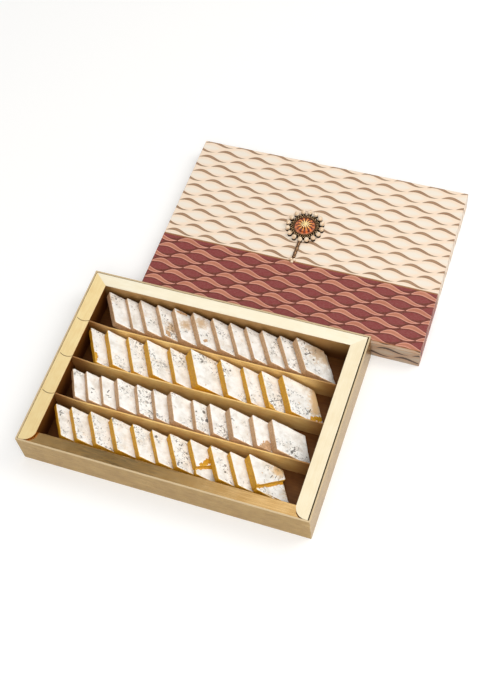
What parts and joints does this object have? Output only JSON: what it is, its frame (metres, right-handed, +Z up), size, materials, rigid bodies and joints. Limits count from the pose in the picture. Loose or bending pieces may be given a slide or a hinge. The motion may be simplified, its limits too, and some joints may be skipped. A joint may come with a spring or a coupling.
{
  "type": "sweet box",
  "caption": "Shallow gold card tray with rim flaps, dividers and rows of shingled diamond sweets, beside its lift-off printed lid that carries a jewelled brooch.",
  "frame": {"origin": "middle of the tray's flat underside", "axes": "+X along the rows to the right, +Y from the tray's front to its back, +Z up"},
  "size_m": [0.3263, 0.3916, 0.037],
  "materials": {
    "gold_card": "satin gold foil",
    "liner_card": "satin foil in shade",
    "divider_card": "satin gold foil",
    "cashew_sweet": "pressed silver leaf over cashew paste",
    "saffron_sweet": "pressed silver leaf over saffron paste",
    "lid_board": "raw board",
    "cream_paper": "printed matt paper",
    "maroon_paper": "printed matt paper",
    "bronze": "antique, darkened",
    "amber_glass": "faceted, foil-backed",
    "pearl": "pearl lacquer"
  },
  "bodies": {
    "tray": {"outer_tray": "gold_card", "floor_liner": "liner_card", "insert_back": "gold_card", "insert_front": "gold_card", "insert_left": "gold_card", "insert_right": "gold_card", "divider_1": "divider_card", "divider_2": "divider_card", "divider_3": "divider_card", "row_1_slices": "cashew_sweet", "row_2_slices": "saffron_sweet", "row_3_slices": "cashew_sweet", "row_4_slices": "saffron_sweet"},
    "lid": {"lid_board": "lid_board", "lid_paper_cream": "cream_paper", "lid_paper_maroon": "maroon_paper", "lid_paper_front": "cream_paper", "brooch_plate": "bronze", "brooch_gem": "amber_glass", "brooch_bezel": "bronze", "brooch_filigree": "bronze", "brooch_pearl_cups": "bronze", "brooch_pearls": "pearl", "brooch_stem": "bronze", "brooch_foot_beads": "bronze"},
    "slice_1": {"row_1_end_slice": "cashew_sweet"},
    "slice_2": {"row_2_end_slice": "saffron_sweet"},
    "slice_3": {"row_3_end_slice": "cashew_sweet"},
    "slice_4": {"row_4_end_slice": "saffron_sweet"}
  },
  "joints": [
    {"name": "lid_lift", "type": "slide", "parent": "tray", "child": "lid", "axis": [0, 0, 1], "range_m": [0, 0.12]},
    {"name": "row_1_end_lift", "type": "slide", "parent": "tray", "child": "slice_1", "axis": [0, 0, 1], "range_m": [0, 0.06]},
    {"name": "row_2_end_lift", "type": "slide", "parent": "tray", "child": "slice_2", "axis": [0, 0, 1], "range_m": [0, 0.06]},
    {"name": "row_3_end_lift", "type": "slide", "parent": "tray", "child": "slice_3", "axis": [0, 0, 1], "range_m": [0, 0.06]},
    {"name": "row_4_end_lift", "type": "slide", "parent": "tray", "child": "slice_4", "axis": [0, 0, 1], "range_m": [0, 0.06]}
  ]
}
